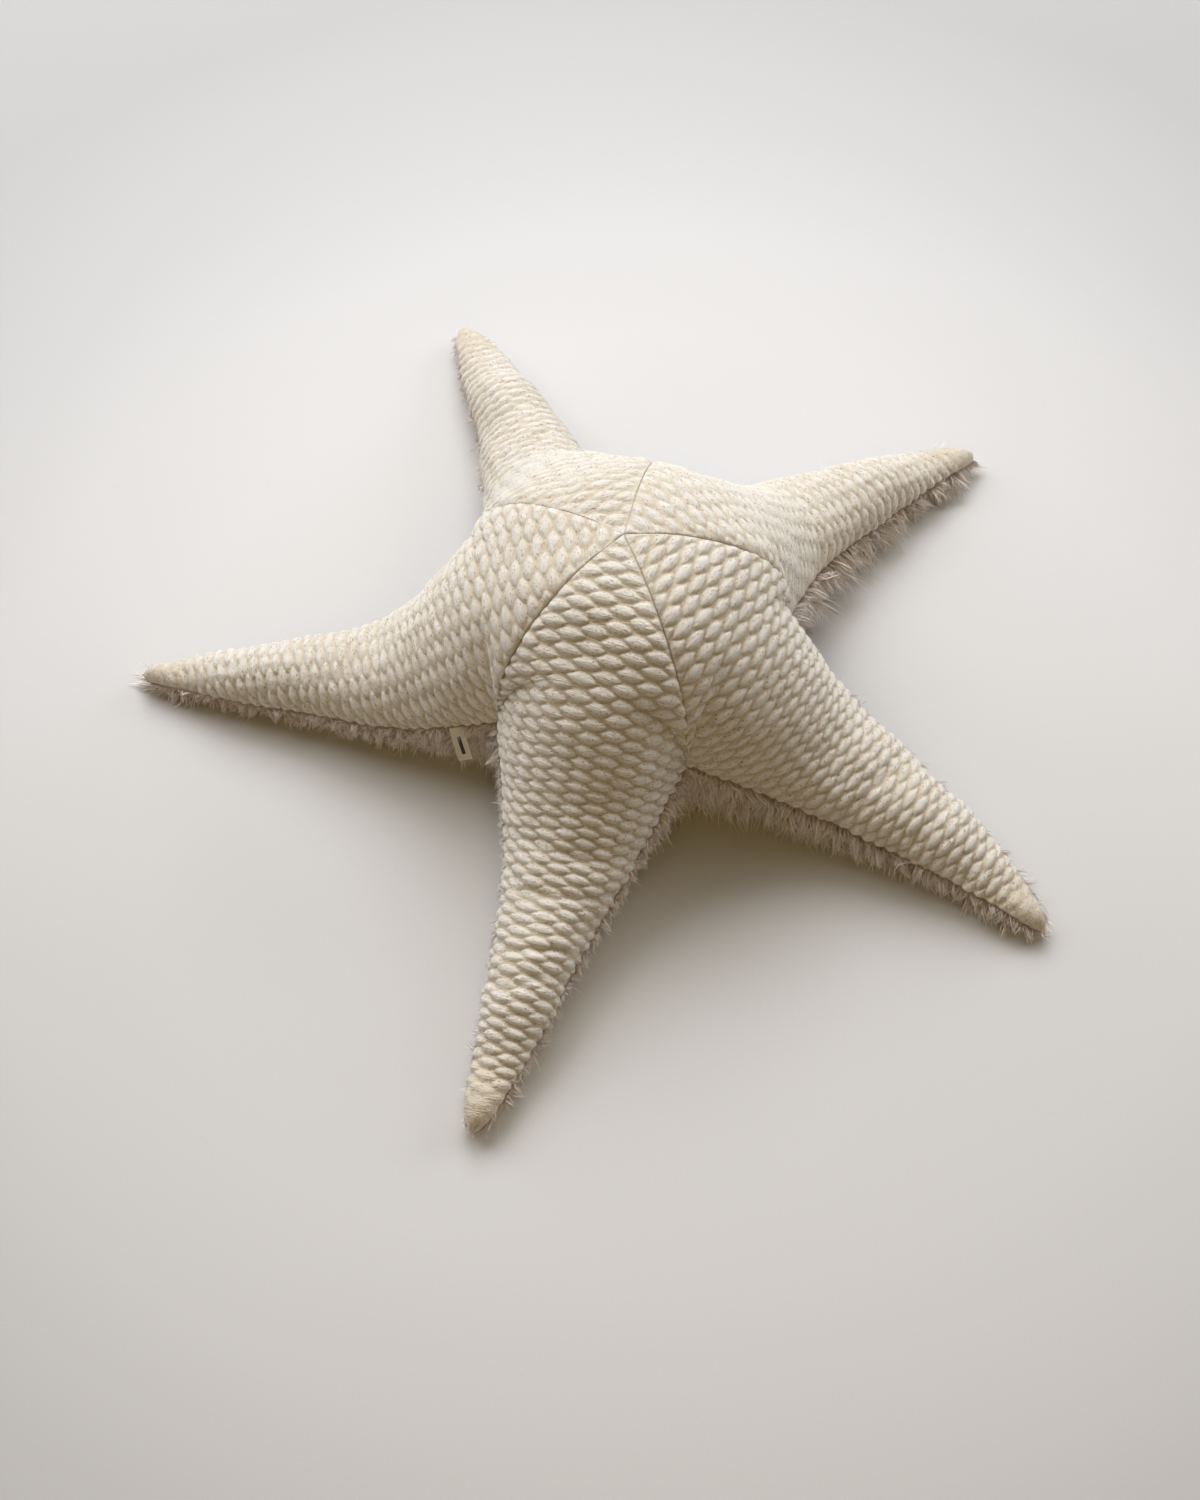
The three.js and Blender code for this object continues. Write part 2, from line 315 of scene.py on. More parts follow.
class Grids:
    """Gathers the points and triangles of a mesh that is made of grids."""

    def __init__(self):
        self.points = []
        self.triangles = []
        self.total = 0

    def number(self, grid):
        """Adds a grid's points, and gives their numbers."""
        numbers = self.total + np.arange(grid[..., 0].size).reshape(grid.shape[:-1])
        self.points.append(grid.reshape(-1, 3))
        self.total += numbers.size
        return numbers

    def cover(self, numbers, flipped=False):
        self.triangles.append(grid_triangles(numbers, flipped))

    def joined(self):
        return np.concatenate(self.points), np.concatenate(self.triangles)


def add_object(data):
    """Puts a mesh, a light or a camera into the scene, under its own name."""
    added = bpy.data.objects.new(data.name, data)
    bpy.context.scene.collection.objects.link(added)
    return added


def make_object(name, points, triangles, material, body_slot, smooth_count=None):
    """A mesh object in metres on the part's one body. Only its first smooth_count faces are smooth."""
    mesh = bpy.data.meshes.new(name)
    mesh.vertices.add(len(points))
    mesh.vertices.foreach_set("co", (points * MM).astype(np.float32).ravel())
    mesh.loops.add(3 * len(triangles))
    mesh.loops.foreach_set("vertex_index", triangles.astype(np.int32).ravel())
    mesh.polygons.add(len(triangles))
    mesh.polygons.foreach_set("loop_start", np.arange(0, 3 * len(triangles), 3, dtype=np.int32))
    mesh.update(calc_edges=True)
    smooth_count = len(triangles) if smooth_count is None else smooth_count
    mesh.polygons.foreach_set("use_smooth", np.arange(len(triangles)) < smooth_count)
    mesh.materials.append(material)
    piece = add_object(mesh)
    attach(piece, "root")
    return piece


def add_attribute(piece, name, values):
    """A number at each vertex, for the materials to read."""
    attribute = piece.data.attributes.new(name, "FLOAT", "POINT")
    attribute.data.foreach_set("value", values.astype(np.float32))


def add_uv(piece, coordinates):
    """Cloth coordinates, in metres, as the piece's UV map."""
    corners = np.empty(len(piece.data.loops), np.int32)
    piece.data.loops.foreach_get("vertex_index", corners)
    layer = piece.data.uv_layers.new(name="cloth")
    layer.data.foreach_set("uv", (coordinates[corners] * MM).astype(np.float32).ravel())


def drop_empty(triangles):
    a, b, c = triangles.T
    return triangles[(a != b) & (b != c) & (c != a)]


def weld(points, triangles):
    """Joins vertices in the same place and drops the triangles that this empties."""
    _, first, number = np.unique(np.round(points, 3), axis=0, return_index=True, return_inverse=True)
    return points[first], drop_empty(number.reshape(-1)[triangles])


# ---- how the cloth settles


def skin_grids(arm_index, spare=0.0):
    """The smooth skin around one arm, top and underside, longer by a share of spare cloth."""
    station, side = SKIN_STATIONS[:, None], SKIN_SIDES[None, :]
    surfaces = [upper_point(arm_index, station, side), lower_point(arm_index, station, side)]
    for surface in surfaces:
        radius = np.hypot(surface[..., 0], surface[..., 1])
        longer = 1 + spare * smooth(0.8 * VALLEY_RADIUS, ARM_REACH, radius)
        surface[..., :2] *= longer[..., None]
    return surfaces


def held_share():
    """How firmly the top is held: fully at the side seams and the tip, less at the crown's seams."""
    held = np.zeros((len(SKIN_STATIONS), len(SKIN_SIDES)))
    held[:, [0, -1]] = np.where(SKIN_STATIONS <= 1, 0.6, 1.0)[:, None]
    held[-3:] = 1
    return held


def make_skin():
    """A coarse closed skin of the whole star, its rest points, and each grid point's number in it."""
    grids, cut, held = Grids(), [], []
    for k in range(len(ARMS)):
        firmness = (held_share(), np.ones_like(held_share()))
        surfaces = zip(skin_grids(k), skin_grids(k, SPARE_CLOTH), firmness, (False, True))
        for plain, longer, firm, flipped in surfaces:
            grids.cover(grids.number(plain), flipped)
            cut.append(longer.reshape(-1, 3))
            held.append(firm.ravel())
    points, triangles = grids.joined()
    cut, held = np.concatenate(cut), np.concatenate(held)
    _, first, number = np.unique(np.round(points, 2), axis=0, return_index=True, return_inverse=True)
    number = number.reshape(-1)
    firmest = np.zeros(len(first))
    np.maximum.at(firmest, number, held)
    triangles = drop_empty(number[triangles])
    rest = points[first]
    lumps = [soft_noise(rest[:, 0] / 24 + 7 * n, rest[:, 1] / 24, 40 + n) for n in range(3)]
    loose = 1 - np.clip(2 * firmest, 0, 1)
    start = rest + FIRST_LUMPS * loose[:, None] * np.stack(lumps, -1)
    mesh = bpy.data.meshes.new("skin")
    mesh.from_pydata((start * MM).tolist(), [], triangles.tolist())
    skin = add_object(mesh)
    skin.shape_key_add(name="Basis")
    cut_shape = skin.shape_key_add(name="cut")
    cut_shape.data.foreach_set("co", (cut[first] * MM).astype(np.float32).ravel())
    cut_shape.value = 0
    group = skin.vertex_groups.new(name="held")
    for share in np.unique(firmest[firmest > 0]):
        group.add(np.flatnonzero(firmest == share).tolist(), float(share), "REPLACE")
    return skin, rest, number


def settle_cloth():
    """Simulates the skin over its filling. Gives each grid point's move in mm, for every arm."""
    skin, rest, number = make_skin()
    cloth = skin.modifiers.new("cloth", "CLOTH")
    cloth.settings.rest_shape_key = skin.data.shape_keys.key_blocks["cut"]
    cloth.settings.vertex_group_mass = "held"
    for name, value in CLOTH_SETTINGS.items():
        setattr(cloth.settings, name, value)
    cloth.settings.effector_weights.gravity = 0
    cloth.collision_settings.use_collision = False
    cloth.point_cache.frame_start = 1
    cloth.point_cache.frame_end = SETTLE_FRAMES
    scene = bpy.context.scene
    for frame_number in range(1, SETTLE_FRAMES + 1):
        scene.frame_set(frame_number)
    settled = skin.evaluated_get(bpy.context.evaluated_depsgraph_get()).to_mesh()
    moved = np.empty(3 * len(settled.vertices), np.float32)
    settled.vertices.foreach_get("co", moved)
    moved = SETTLE_GAIN * (moved.reshape(-1, 3) / MM - rest)
    far = np.linalg.norm(moved, axis=1, keepdims=True)
    moved = moved * np.minimum(1, SETTLE_LIMIT / np.maximum(far, 1e-6))
    scene.frame_set(1)
    mesh = skin.data
    bpy.data.objects.remove(skin)
    bpy.data.meshes.remove(mesh)
    return calm(moved[number].reshape(len(ARMS), 2, len(SKIN_STATIONS), len(SKIN_SIDES), 3)[:, 0])


def calm(moves):
    """Evens out the moves where the skin's cells are far thinner than the cloth, as by the seams."""
    moves = moves.copy()
    for seam, inward in ((0, 1), (-1, -1)):
        for columns, share in ((1, 0.11), (2, 0.45)):
            third = moves[:, :, seam + 3 * inward]
            moves[:, :, seam + columns * inward] = (1 - share) * moves[:, :, seam] + share * third
    rows = np.arange(1, len(SKIN_STATIONS) - 1)
    rows = rows[SKIN_STATIONS[rows] != 1]
    moves[:, rows] = 0.25 * moves[:, rows - 1] + 0.5 * moves[:, rows] + 0.25 * moves[:, rows + 1]
    return moves


def cubic_weights(t):
    return (
        -0.5 * t + t**2 - 0.5 * t**3,
        1 - 2.5 * t**2 + 1.5 * t**3,
        0.5 * t + 2 * t**2 - 1.5 * t**3,
        -0.5 * t**2 + 0.5 * t**3,
    )


def settled_point(arm_index, station, side, moves, inset=0.0):
    """Points of the skin after it has settled, with the moves drawn smoothly through the grid."""
    station, side = np.broadcast_arrays(station, side)
    row = np.interp(station, SKIN_STATIONS, np.arange(len(SKIN_STATIONS)))
    column = np.interp(side, SKIN_SIDES, np.arange(len(SKIN_SIDES)))
    first_row, first_column = np.floor(row).astype(int), np.floor(column).astype(int)
    point = upper_point(arm_index, station, side, inset, SEAM_GAP)
    for i, row_weight in enumerate(cubic_weights(row - first_row)):
        for j, column_weight in enumerate(cubic_weights(column - first_column)):
            at_row = np.clip(first_row + i - 1, 0, len(SKIN_STATIONS) - 1)
            at_column = np.clip(first_column + j - 1, 0, len(SKIN_SIDES) - 1)
            share = (row_weight * column_weight)[..., None]
            point = point + share * moves[arm_index][at_row, at_column]
    return point


# ---- the quilted panels


def laid_flat(at):
    """Each triangle's corners laid flat, as complex numbers from its first corner."""
    edge, other = at[:, 1] - at[:, 0], at[:, 2] - at[:, 0]
    right = unit(edge)
    up = np.cross(unit(np.cross(edge, other)), right)
    third = (other * right).sum(1) + 1j * (other * up).sum(1)
    return np.stack([np.zeros(len(at)), np.linalg.norm(edge, axis=1) + 0j, third], 1)


def flatten(grid, rounds=40):
    """The flat pattern of a grid of points, as complex numbers, as near true length as it can be."""
    rows, columns = grid.shape[:2]
    numbers = np.arange(rows * columns).reshape(rows, columns)
    corners = grid_triangles(numbers)
    at = grid.reshape(-1, 3)[corners]
    local = laid_flat(at)
    start, end, apex = [0, 1, 2], [1, 2, 0], [2, 0, 1]
    to_start = at[:, start] - at[:, apex]
    to_end = at[:, end] - at[:, apex]
    area = np.linalg.norm(np.cross(to_start, to_end), axis=-1)
    weight = np.clip((to_start * to_end).sum(-1) / np.maximum(area, 1e-6), 0.05, 20)
    i, j = corners[:, start], corners[:, end]
    wanted = local[:, start] - local[:, end]
    matrix = np.zeros((rows * columns, rows * columns))
    for one, two, sign in ((i, i, 1), (j, j, 1), (i, j, -1), (j, i, -1)):
        np.add.at(matrix, (one, two), sign * weight)
    matrix[0, 0] += 1
    inverse = np.linalg.inv(matrix)
    along_ridge = np.linalg.norm(np.diff(grid[:, columns // 2], axis=0), axis=1)
    across = np.linalg.norm(np.diff(grid, axis=1), axis=2)
    from_edge = np.concatenate([np.zeros((rows, 1)), np.cumsum(across, axis=1)], axis=1)
    from_edge = from_edge - from_edge[:, columns // 2, None]
    flat = np.concatenate([[0], np.cumsum(along_ridge)])[:, None] + 1j * from_edge
    flat = flat.ravel()
    for _ in range(rounds):
        spin = (weight * (flat[i] - flat[j]) * np.conj(wanted)).sum(1)
        spin = spin / np.maximum(np.abs(spin), 1e-9)
        push = weight * spin[:, None] * wanted
        pull = np.zeros(rows * columns, complex)
        np.add.at(pull, i, push)
        np.add.at(pull, j, -push)
        flat = inverse @ pull
    flat = flat.reshape(rows, columns)
    ridge = flat[:, columns // 2]
    return (flat - ridge[0]) * np.conj(ridge[-1] - ridge[0]) / abs(ridge[-1] - ridge[0])


def look_up(table, rows_at, columns_at, row, column):
    """Values of a table between its rows and columns, and a little past its ends."""
    r = np.interp(row, rows_at, np.arange(len(rows_at)))
    c = np.interp(column, columns_at, np.arange(len(columns_at)))
    r0 = np.minimum(r.astype(int), len(rows_at) - 2)
    c0 = np.minimum(c.astype(int), len(columns_at) - 2)
    fr, fc = r - r0, c - c0
    low = table[r0, c0] * (1 - fc) + table[r0, c0 + 1] * fc
    high = table[r0 + 1, c0] * (1 - fc) + table[r0 + 1, c0 + 1] * fc
    return low * (1 - fr) + high * fr


def cloth_pattern(arm_index):
    """Gives the flat cloth coordinates, in mm from the crown, of any station and side."""
    crown = np.sin(np.linspace(0.03, 1, 20) * math.pi / 2)
    stations = np.concatenate([crown, 1 + np.linspace(0, 0.985, 34)[1:]])
    sides = np.linspace(-1, 1, 19)
    grid = upper_point(arm_index, stations[:, None], sides[None, :])
    flat = flatten(grid)
    return lambda station, side: look_up(flat, stations, sides, station, side)


def puff_rows(along):
    """How many rows of puffs lie between the crown and here: they bunch up on the arms."""
    reach = np.linspace(0, 600, 601)
    pitch = PUFF_ALONG_CROWN + (PUFF_ALONG_ARM - PUFF_ALONG_CROWN) * smooth(110, 190, reach)
    return np.interp(along, reach, np.cumsum(1 / pitch))


def puffs(along, across, lean, seed):
    """Height of the puffs over the cloth, 0 to 1, in a half-drop pattern with a little disorder."""
    chance = np.random.default_rng(seed).uniform(-1, 1, (64, 128, 5))
    rows = puff_rows(along)
    nearest = np.round(across / PUFF_ACROSS).astype(int)
    height = np.zeros_like(along)
    for step in (-1, 0, 1):
        column = nearest + step
        drop = 0.5 * (column % 2)
        row = np.round(rows - drop).astype(int)
        shift, slide, tilt, size, fill = np.moveaxis(chance[column % 64, row % 128], -1, 0)
        p = (across - column * PUFF_ACROSS - 0.5 * shift) / (0.5 * PUFF_LENGTH * (1 + 0.06 * size))
        q = (rows - drop - row) * PUFF_ALONG_CROWN + 0.5 * slide + (0.7 * tilt - lean) * p
        breadth = 0.5 * PUFF_BREADTH * (1 + 0.08 * fill) * np.maximum(1 - p * p, 0) ** 0.9
        across_lens = np.clip(1 - (q / np.maximum(breadth, 1e-3)) ** 2, 0, 1)
        lens = (1 + 0.1 * fill) * across_lens**0.78 * np.maximum(1 - p * p, 0) ** 0.45
        height = np.maximum(height, lens)
    return height


def panel_rows(arm_index):
    """Stations spaced so that the rows of the mesh are even on the cloth."""
    fine = np.concatenate([np.linspace(0.004, 1, 400), 1 + np.linspace(0, 1, 800)[1:]])
    lengths = []
    for side, share in ((-1.0, 0.5), (-0.8, 0.9), (0.0, 1.0), (0.8, 0.9), (1.0, 0.5)):
        line = upper_point(arm_index, fine, side)
        lengths.append(share * np.linalg.norm(np.diff(line, axis=0), axis=1))
    travelled = np.concatenate([[0], np.cumsum(np.max(lengths, axis=0))])
    count = int(travelled[-1] / OUTSIDE_SPACING)
    return np.interp(np.linspace(0, travelled[-1], count), travelled, fine)


def outward(arm_index, station, side, edge_distance):
    """The way out of the cloth. By a crown seam it lies in the seam's own plane, so panels meet."""
    inner_side = np.clip(side, -0.985, 0.985)
    inner_station = np.clip(station, 0.02, 1.985)
    ahead, behind, right, left = (
        upper_point(arm_index, inner_station + along, inner_side + across)
        for along, across in ((0.004, 0), (-0.004, 0), (0, 0.01), (0, -0.01))
    )
    normal = unit(np.cross(ahead - behind, right - left))
    heading = math.radians(FIRST_HEADING - 72 * arm_index)
    heading = heading + np.sign(side) * (HALF_SECTOR + math.pi / 2)
    over_seam = np.stack([np.cos(heading), np.sin(heading), 0 * heading], -1)
    shared = np.exp(-((edge_distance / 5) ** 2)) * smooth(1.02, 0.98, station)
    return unit(normal - over_seam * ((normal * over_seam).sum(-1) * shared)[:, None])


def outside_points(arm_index, station, side, pattern, edge_distance, moves):
    """The quilted outside: its points, each one's share of painted light (low for the painted shade
    between puffs, by the seams and on the arm ends), and its place on the flat cloth.
    """
    base = settled_point(arm_index, station, side, moves)
    normal = outward(arm_index, station, side, edge_distance)
    flat = pattern(station, side)
    along, across = flat.real, flat.imag
    seed = 10 * arm_index
    arm = ARMS[arm_index]
    lean = arm["lean"] * smooth(60, 180, along)
    lens = puffs(along, across, lean, seed)
    height = lens * (1 - 0.85 * smooth(1.84, 1.95, station))
    on_crown = smooth(1.02, 0.9, station)
    at_seam = smooth(0, 2.4 - 0.8 * on_crown, edge_distance)
    flatter = 1 - 0.6 * on_crown * smooth(9, 1, edge_distance)
    on_arm = smooth(120, 200, along) * smooth(1.98, 1.8, station)
    wander = soft_noise(across / 40, along / 60, seed + 1)
    fold = soft_noise(along / 19 + 0.5 * wander, across / 70, seed + 2)
    crease = 0
    for place, depth in arm["folds"]:
        crease = crease + depth * np.exp(-(((along + 9 * wander - place) / FOLD_BREADTH) ** 2))
    lump = soft_noise(along / 45, across / 38, seed + 3)
    rise = (
        PUFF_HEIGHT * height * at_seam * flatter
        - (STITCH_DEPTH - 0.2 * on_crown) * np.exp(-((edge_distance / STITCH_BREADTH) ** 2))
        - (SEAM_SINK - 0.4 * on_crown) * np.exp(-edge_distance / SEAM_REACH)
        + (0.3 + FOLD_DEPTH * on_arm) * fold * at_seam
        - crease * on_arm * at_seam
        + LUMP_HEIGHT * lump * at_seam
    )
    # Painted light share: full on the puff tops, falling to painted shade in the ground between puffs,
    # by the seams and on the smooth arm ends.
    painted_light_share = lens * at_seam * (1 - 0.75 * smooth(1.76, 1.9, station))
    return base + normal * np.maximum(rise, -DEEPEST)[:, None], painted_light_share, flat


def outer_rows(arm_index, stations):
    """Even rows of points across the panel: each point's station, side and distance from the nearer
    seam, and the numbers of the points in each row."""
    probe_side = np.linspace(-1, 1, 41)
    station_of, side_of, edge_of, rows = [], [], [], []
    total = 0
    for station in stations:
        probe = upper_point(arm_index, station, probe_side)
        step = np.linalg.norm(np.diff(probe, axis=0), axis=1)
        travelled = np.concatenate([[0], np.cumsum(step)])
        count = max(int(round(travelled[-1] / OUTSIDE_SPACING)), 1)
        at = np.linspace(0, travelled[-1], count + 1)
        station_of.append(np.full(count + 1, station))
        side_of.append(np.interp(at, travelled, probe_side))
        edge_of.append(np.minimum(at, travelled[-1] - at))
        rows.append(total + np.arange(count + 1))
        total += count + 1
    return *map(np.concatenate, (station_of, side_of, edge_of)), rows


def inner_rows(arm_index, stations, outside_rows, total, moves):
    """The coarser inside of the cloth, whose rows start and end on the outside's edges."""
    points, rows = [], []
    for station, row in zip(stations, outside_rows):
        count = max(len(row) * OUTSIDE_SPACING / INSIDE_SPACING, 1)
        side = np.linspace(-1, 1, int(count) + 2)[1:-1] * 0.97
        points.append(settled_point(arm_index, min(station, 1.99), side, moves, CLOTH))
        rows.append(np.concatenate([row[:1], total + np.arange(len(side)), row[-1:]]))
        total += len(side)
    return np.concatenate(points), rows


def make_panel(arm_index, material, moves):
    """One quilted panel as a closed piece of thick cloth: a ring of points at each station."""
    stations = panel_rows(arm_index)
    station, side, edge_distance, outside_rows = outer_rows(arm_index, stations)
    pattern = cloth_pattern(arm_index)
    points, painted_light_share, flat = outside_points(arm_index, station, side, pattern, edge_distance, moves)
    inside_points, inside_rows = inner_rows(arm_index, stations, outside_rows, len(points), moves)
    points = np.concatenate([points, inside_points])
    outside = [zip_rows(*pair) for pair in zip(outside_rows[:-1], outside_rows[1:])]
    inside = [zip_rows(*pair)[:, ::-1] for pair in zip(inside_rows[:-1], inside_rows[1:])]
    inside.append(zip_rows(inside_rows[0], outside_rows[0]))
    inside.append(zip_rows(outside_rows[-1], inside_rows[-1]))
    outside, inside = drop_empty(np.concatenate(outside)), drop_empty(np.concatenate(inside))
    triangles = np.concatenate([outside, inside])[:, ::-1]
    name = f"arm_panel_{ARMS[arm_index]['name']}"
    piece = make_object(
        f"quilted_{name}", points, triangles, material, "quilted_cotton", smooth_count=len(outside)
    )
    inner_count = len(points) - len(painted_light_share)
    # The share of painted light, which the cotton's ramp turns into painted shade between the puffs.
    add_attribute(piece, "puff", np.concatenate([painted_light_share, np.zeros(inner_count)]))
    cloth = np.stack([flat.real, flat.imag], -1)
    add_uv(piece, np.concatenate([cloth, np.zeros((inner_count, 2))]))
    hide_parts(name)
    return piece


# ---- the filling and the fur


def make_stuffing(material):
    """The fibre filling, a little lumpy, inside the cloth."""
    stations = np.concatenate([np.linspace(0, 1, 14), 1 + np.linspace(0, 1, 34)[1:]])
    station, side = stations[:, None], np.linspace(-1, 1, 21)[None, :]
    grids = Grids()
    for k in range(len(ARMS)):
        grids.cover(grids.number(upper_point(k, station, side, FILLING_INSET)))
        grids.cover(grids.number(lower_point(k, station, side, FILLING_INSET, FILLING_FLOOR)), True)
    points, triangles = weld(*grids.joined())
    lump = soft_noise(points[:, 0] / 22, points[:, 1] / 22 + points[:, 2] / 30, 77)
    centre = points * np.array([1, 1, 0]) + np.array([0, 0, 40])
    points = points + unit(centre - points) * (0.8 + 0.8 * lump)[:, None]
    piece = make_object("fibre_filling", points, triangles, material, "fibre_fill")
    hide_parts("stuffing")
    return piece


def make_fur_backing(material):
    """The knitted back of the fur: a thin closed star that reaches up to the side seam."""
    stations = np.concatenate([np.linspace(0, 1, 20), 1 + np.linspace(0, 1, 44)[1:]])
    station, side = stations[:, None], np.linspace(-1, 1, 25)[None, :]
    first_free = 19
    grids = Grids()
    for k in range(len(ARMS)):
        outer = grids.number(lower_point(k, station, side, *BACKING_OUTSIDE))
        inner = grids.number(lower_point(k, station, side, *BACKING_INSIDE))
        grids.cover(outer, True)
        grids.cover(inner)
        for column, flipped in ((0, True), (-1, False)):
            grids.cover(np.stack([outer[first_free:, column], inner[first_free:, column]]), flipped)
    points, triangles = weld(*grids.joined())
    piece = make_object("fur_backing", points, triangles, material, "long_pile_fur")
    add_attribute(piece, "tone", np.zeros(len(points)))
    add_attribute(piece, "reach", np.zeros(len(points)))
    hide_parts("fur_underside")
    return piece


def hair_roots(arm_index, count, rng):
    """Random places on the underside, denser up the sides: each one's point, its directions outward
    and towards the tip, its station, and how near the side seam it is."""
    stations = np.concatenate([np.linspace(0.05, 1, 40), 1 + np.linspace(0, 0.99, 110)[1:]])
    sides = np.linspace(-1, 1, 61)
    grid = lower_point(arm_index, stations[:, None], sides[None, :], *HAIR_ROOTS)
    a, b, c, d = grid[:-1, :-1], grid[1:, :-1], grid[1:, 1:], grid[:-1, 1:]
    cross = np.cross(c - a, d - b)
    area = np.linalg.norm(cross, axis=-1)
    height = (a + b + c + d)[..., 2] / 4
    weight = area * (0.5 + 0.8 * smooth(4, 14, height)) * (1 + smooth(0.85, 0.95, np.abs(sides[:-1])))
    chosen = rng.choice(weight.size, count, p=(weight / weight.sum()).ravel())
    row, column = np.unravel_index(chosen, weight.shape)
    u, v = rng.random(count)[:, None], rng.random(count)[:, None]
    station = stations[row] + (stations[row + 1] - stations[row]) * u[:, 0]
    root = (a[row, column] * (1 - u) + b[row, column] * u) * (1 - v)
    root += (d[row, column] * (1 - u) + c[row, column] * u) * v
    outward = -unit(cross[row, column])
    tipward = unit((b - a)[row, column])
    side = np.abs(sides[column] + (sides[1] - sides[0]) * v[:, 0])
    return root, outward, tipward, station, smooth(0.86, 0.97, side)[:, None]


def tuft_centres(root, rng_seed):
    """The middle of the tuft that each hair belongs to, a jittered cell of space."""
    cell = np.floor(root / TUFT_SIZE).astype(int)
    shake = np.random.default_rng(rng_seed).uniform(-0.35, 0.35, (32, 32, 32, 3))
    jitter = shake[cell[:, 0] % 32, cell[:, 1] % 32, cell[:, 2] % 32]
    return (cell + 0.5 + jitter) * TUFT_SIZE, jitter / 0.35


def make_pile(arm_index, material):
    """The long hairs of one arm's part of the fur, as thin tapered ribbons gathered in tufts."""
    rng = np.random.default_rng(500 + arm_index)
    root, outward, tipward, station, by_seam = hair_roots(arm_index, HAIRS_PER_ARM, rng)
    at_tip = smooth(1.88, 1.99, station)[:, None]
    on_arm = smooth(1.04, 1.25, station)[:, None]
    wisp = (rng.random(len(root)) < WISP_SHARE)[:, None]
    centre, character = tuft_centres(root, 900 + arm_index)
    count = len(root)
    side_wall = smooth(5, 16, root[:, 2])[:, None]
    pressed = 1 - side_wall
    down = np.array([0, 0, -1.0]) * (1 - 0.85 * pressed)
    loose = rng.normal(0, 0.16, (count, 3))
    forward = tipward * (0.15 + 0.9 * at_tip + 0.45 * pressed)
    pile = ARMS[arm_index]["pile"] * (1 - 0.2 * smooth(1.35, 1.75, station)[:, None])
    spread = 0.75 - 0.8 * on_arm * (1 - pile) + 0.5 * by_seam
    start_way = outward * spread + down * (0.35 - 0.6 * by_seam) + forward
    start_way = unit(start_way + 0.5 * character + loose)
    hang = unit(outward * (0.2 - 0.1 * on_arm) + down * 0.9 + forward + 0.4 * character + loose)
    length = PILE_LENGTH * rng.uniform(0.7, 1.1, count)[:, None] * (0.75 + 0.25 * side_wall)
    arm_share = 1 - (1 - pile) * on_arm * (1 - at_tip) * side_wall
    length = length * arm_share * (1 + 0.35 * at_tip) * (1 - 0.35 * by_seam) * np.where(wisp, 1.4, 1.0)
    tuft = ARMS[arm_index]["tuft"]
    length = length * (1 + 0.15 * character[:, :1]) * (1 - (1 - tuft) * at_tip)
    steps = np.array([0.0, 0.36, 0.7, 1.0])
    spine = np.empty((count, len(steps), 3))
    spine[:, 0] = root
    position = root.copy()
    for n in range(1, len(steps)):
        middle = (steps[n] + steps[n - 1]) / 2
        way = unit(start_way * (1 - middle) + hang * middle * 1.6)
        position = position + way * length * (steps[n] - steps[n - 1])
        gather = GATHER * steps[n] * (steps[n] - steps[n - 1])
        position = position + (centre - root) * gather
        floor = PRESSED_LOW + PRESSED_DEPTH * rng.random(count) * (1 - 0.5 * steps[n])
        position[:, 2] = np.maximum(position[:, 2], floor)
        spine[:, n] = position
    return ribbon_piece(arm_index, spine, steps, pressed[:, :, None], rng, material)


def ribbon_piece(arm_index, spine, steps, pressed, rng, material):
    """Turns spines into ribbons that taper to a point. Pressed ones are broader and lie flat."""
    count, points_each = spine.shape[:2]
    way = unit(np.gradient(spine, axis=1))
    facing = rng.normal(0, 1, (count, 1, 3)) + pressed * np.array([0, 0, 4.0])
    flat_way = unit(np.cross(way, facing))
    width = HALF_HAIR * rng.uniform(0.7, 1.2, count)[:, None, None] * (1 - steps**1.5)[None, :, None]
    width = width * (1 + pressed)
    left = spine - flat_way * width
    right = spine + flat_way * width
    pairs = np.stack([left, right], 2)[:, :-1].reshape(count, -1, 3)
    points = np.concatenate([pairs, spine[:, -1:]], 1)
    per_hair = points.shape[1]
    pattern = []
    for n in range(points_each - 2):
        a = 2 * n
        pattern += [(a, a + 1, a + 3), (a, a + 3, a + 2)]
    pattern.append((per_hair - 3, per_hair - 2, per_hair - 1))
    triangles = (np.arange(count)[:, None, None] * per_hair + np.array(pattern)[None]).reshape(-1, 3)
    name = f"fur_pile_{ARMS[arm_index]['name']}"
    piece = make_object(name, points.reshape(-1, 3), triangles, material, "long_pile_fur")
    reach = np.concatenate([np.repeat(steps[:-1], 2), steps[-1:]])
    add_attribute(piece, "reach", np.tile(reach, count))
    add_attribute(piece, "tone", np.repeat(rng.random(count), per_hair))
    return piece


# ---- the label


